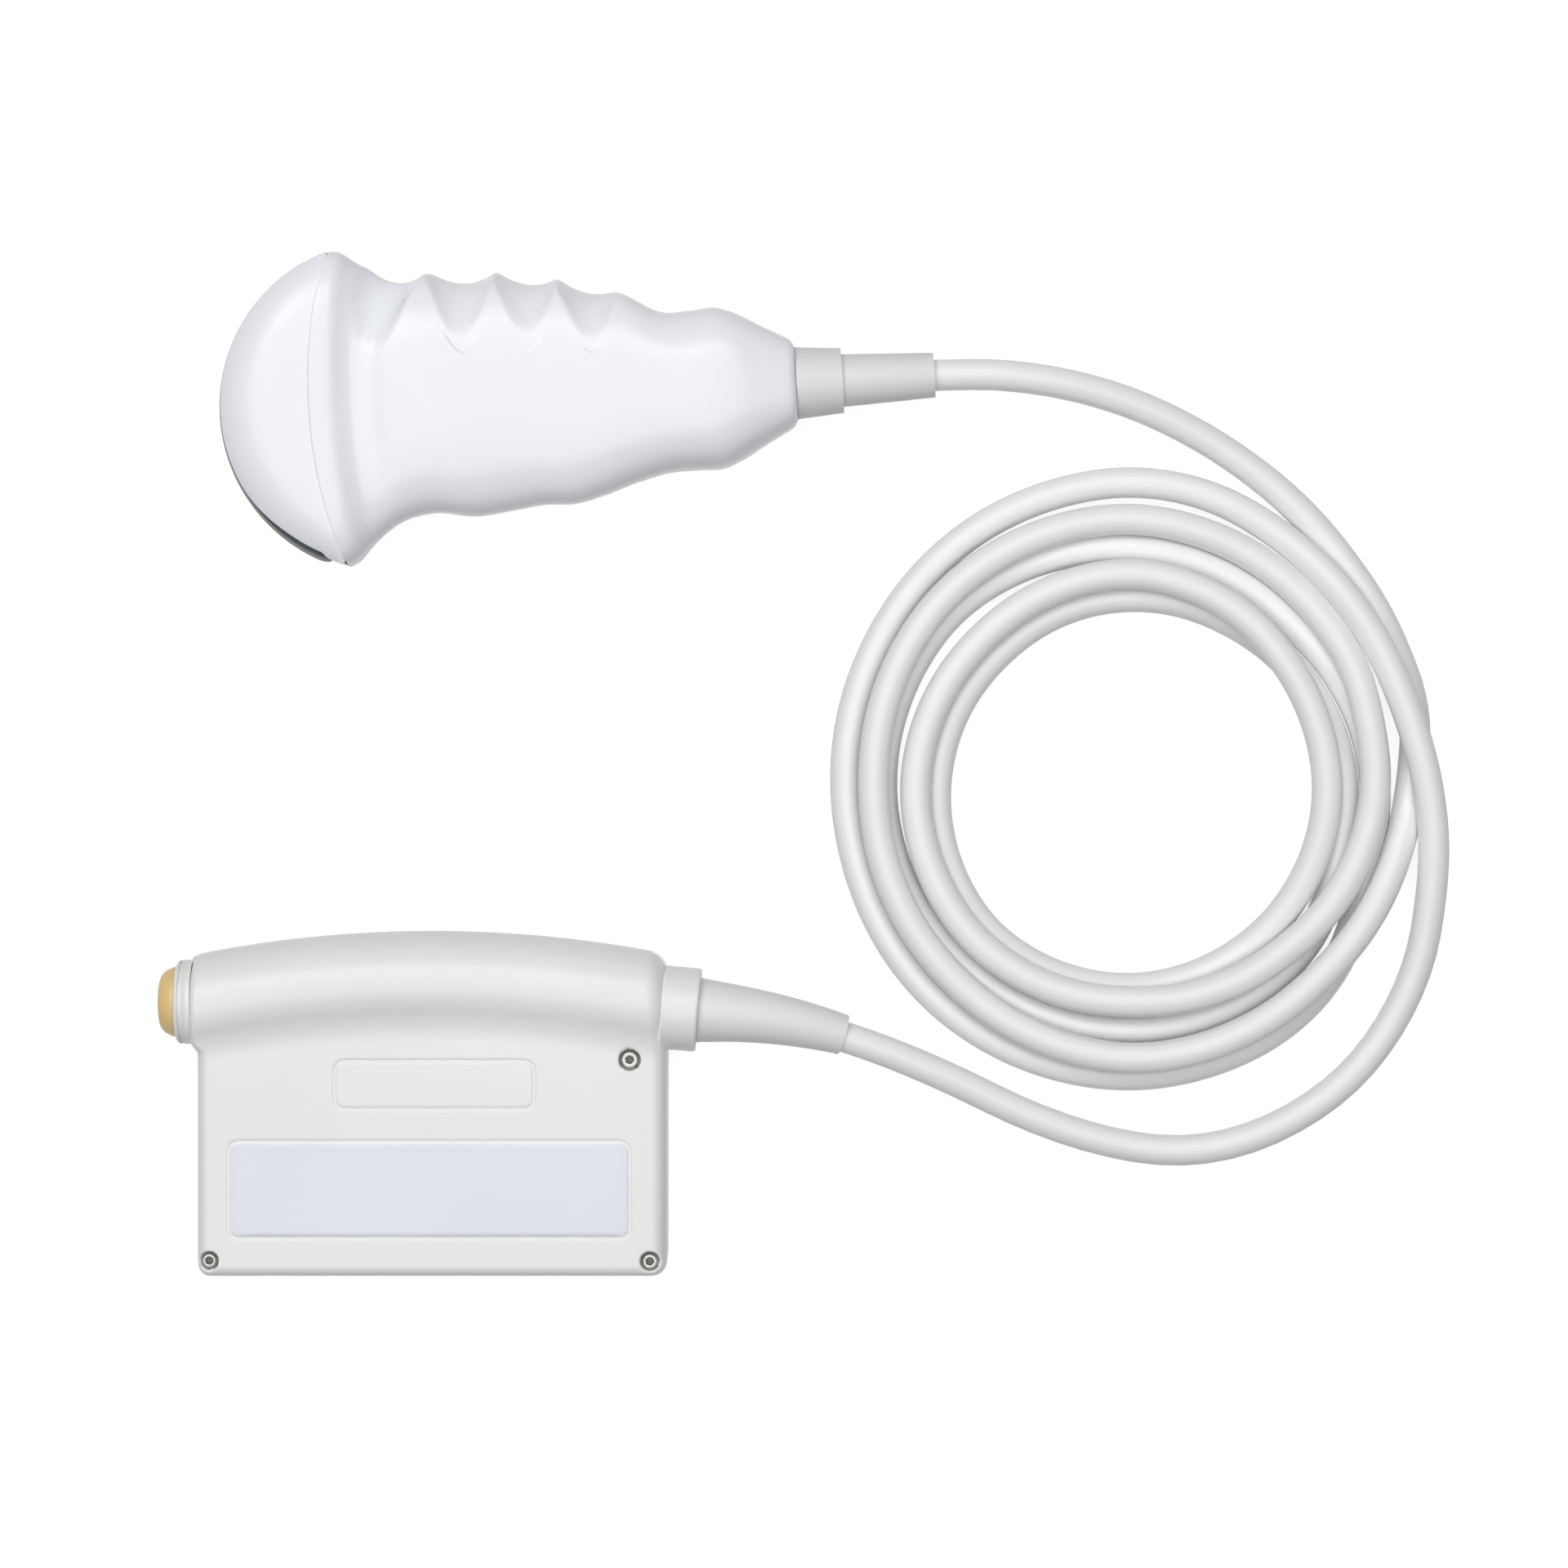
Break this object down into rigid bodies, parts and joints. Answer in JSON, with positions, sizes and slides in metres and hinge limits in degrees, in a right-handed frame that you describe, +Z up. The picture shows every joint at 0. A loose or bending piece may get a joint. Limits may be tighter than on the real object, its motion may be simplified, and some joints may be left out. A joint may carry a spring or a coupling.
{
  "type": "ultrasound transducer probe",
  "caption": "Curved-array hand-held ultrasound probe with a scalloped grip, a coiled cable and a flat console connector with a push-button latch.",
  "frame": {"origin": "on the table under the middle of the probe as it lies on its side, without its boot, cable and connector", "axes": "+Z up from the table; +X along the probe from its lens to its cable, within a few degrees; +Y towards the finger side"},
  "size_m": [0.3095, 0.2453, 0.0283],
  "materials": {
    "handle_plastic": "satin",
    "lens_silicone": "satin",
    "filled_epoxy": "matte",
    "piezo_ceramic": "matte",
    "backing_rubber": "matte",
    "flex_film": "gloss",
    "board_laminate": "satin",
    "contact_plastic": "matte",
    "coax_jacket": "satin",
    "machined_aluminium": "satin",
    "boot_rubber": "matte",
    "cable_jacket": "satin",
    "connector_plastic": "satin",
    "plated_steel": "satin",
    "insert_brass": "satin",
    "label_film": "satin",
    "button_plastic": "satin"
  },
  "bodies": {
    "probe": {"handle_upper_shell": "handle_plastic", "handle_lower_shell": "handle_plastic", "nose_piece": "handle_plastic", "acoustic_lens": "lens_silicone", "matching_layer": "filled_epoxy", "piezo_array": "piezo_ceramic", "backing_block": "backing_rubber", "flex_circuits": "flex_film", "interconnect_board": "board_laminate", "flex_connectors": "contact_plastic", "coax_bundle": "coax_jacket", "probe_cable_clamp": "machined_aluminium", "probe_strain_relief": "boot_rubber", "cable_probe_end": "cable_jacket", "cable_coil": "cable_jacket", "cable_connector_end": "cable_jacket", "connector_strain_relief": "boot_rubber", "connector_front_cover": "connector_plastic", "connector_rear_cover": "connector_plastic", "housing_screws": "plated_steel", "threaded_inserts": "insert_brass", "rating_label": "label_film", "button_bezel": "connector_plastic", "button_spring": "plated_steel", "latch_pin": "plated_steel", "contact_block": "contact_plastic", "connector_board": "board_laminate", "connector_shield": "machined_aluminium", "connector_cable_clamp": "machined_aluminium", "coax_fan": "coax_jacket"},
    "button": {"release_button": "button_plastic", "latch_rod": "plated_steel"},
    "latch": {"latch_lever": "plated_steel"}
  },
  "joints": [
    {"name": "button_press", "type": "slide", "parent": "probe", "child": "button", "axis": [1, 0, 0], "range_m": [0, 0.004], "stiffness_N_per_m": 800, "springref_m": -0.003, "deforming": ["button_spring"]},
    {"name": "latch_swing", "type": "hinge", "parent": "probe", "child": "latch", "pos_m": [-0.0537, -0.172, 0.0135], "axis": [0, 0, 1], "range_deg": [-7.54, 0]}
  ],
  "couplings": [
    {"joint": "latch_swing", "follows": "button_press", "rad_per_m": -32.895}
  ]
}
